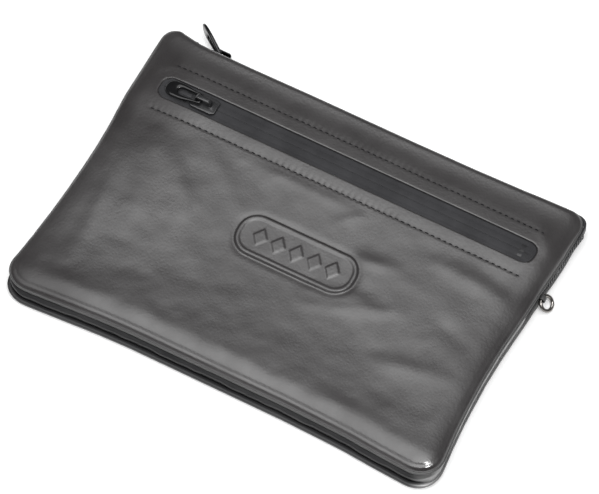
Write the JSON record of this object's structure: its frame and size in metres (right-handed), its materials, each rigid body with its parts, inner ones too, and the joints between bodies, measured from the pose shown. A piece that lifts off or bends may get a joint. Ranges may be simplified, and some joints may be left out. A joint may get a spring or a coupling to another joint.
{
  "type": "zipped leather pouch",
  "caption": "Soft black leather pouch with a zipped mouth along the top edge, a zipped front pocket, a raised oval relief and a small ring on the side wall.",
  "frame": {"origin": "middle of the back panel's flat face, on which the pouch lies", "axes": "+X to the right along the zippers, +Y towards the zipped mouth, +Z out of the front panel"},
  "size_m": [0.2168, 0.162, 0.0217],
  "materials": {
    "leather": "soft semi-gloss, fine grain",
    "seam_leather": "semi-gloss",
    "lining_cloth": "matt woven",
    "zip_tape": "woven",
    "zip_coil": "matt moulded",
    "thread": "twisted",
    "zip_metal": "satin",
    "slider_metal": "satin black",
    "pull_metal": "gloss black",
    "ring_metal": "gloss dark nickel"
  },
  "bodies": {
    "pouch": {"back_panel": "leather", "front_panel": "leather", "gusset_band": "leather", "back_seam_ridge": "seam_leather", "front_seam_ridge": "seam_leather", "main_lining_back": "lining_cloth", "main_lining_front": "lining_cloth", "pocket_lining_back": "lining_cloth", "pocket_lining_front": "lining_cloth", "front_zip_tape_upper": "zip_tape", "front_zip_tape_lower": "zip_tape", "front_zip_coil_upper": "zip_coil", "front_zip_coil_lower": "zip_coil", "front_zip_top_stops": "zip_metal", "front_zip_bottom_stop": "zip_metal", "top_zip_tape_front": "zip_tape", "top_zip_tape_back": "zip_tape", "top_zip_coil_front": "zip_coil", "top_zip_coil_back": "zip_coil", "top_zip_top_stops": "zip_metal", "top_zip_bottom_stop": "zip_metal", "zip_tail_tape": "zip_tape", "zip_tail_teeth": "zip_coil", "tail_end_tab": "seam_leather", "window_stitching": "thread", "top_edge_stitching": "thread", "front_relief": "leather"},
    "main_slider": {"top_slider_body": "slider_metal"},
    "main_pull": {"top_slider_pull": "pull_metal"},
    "pocket_slider": {"front_slider_body": "slider_metal"},
    "pocket_pull": {"front_slider_pull": "pull_metal"},
    "ring": {"side_ring": "ring_metal"}
  },
  "joints": [
    {"name": "main_zip_slide", "type": "slide", "parent": "pouch", "child": "main_slider", "axis": [1, 0, 0], "range_m": [0, 0.158]},
    {"name": "main_pull_swing", "type": "hinge", "parent": "main_slider", "child": "main_pull", "pos_m": [-0.0788, 0.0772, 0.007], "axis": [0, 0, -1], "range_deg": [-34, 130]},
    {"name": "pocket_zip_slide", "type": "slide", "parent": "pouch", "child": "pocket_slider", "axis": [1, 0, 0], "range_m": [0, 0.151]},
    {"name": "pocket_pull_swing", "type": "hinge", "parent": "pocket_slider", "child": "pocket_pull", "pos_m": [-0.0713, 0.046, 0.0194], "axis": [0, 1, 0], "range_deg": [0, 170]},
    {"name": "ring_swing", "type": "hinge", "parent": "pouch", "child": "ring", "pos_m": [0.1062, 0.0343, 0.0056], "axis": [0, -1, 0], "range_deg": [0, 120]}
  ]
}
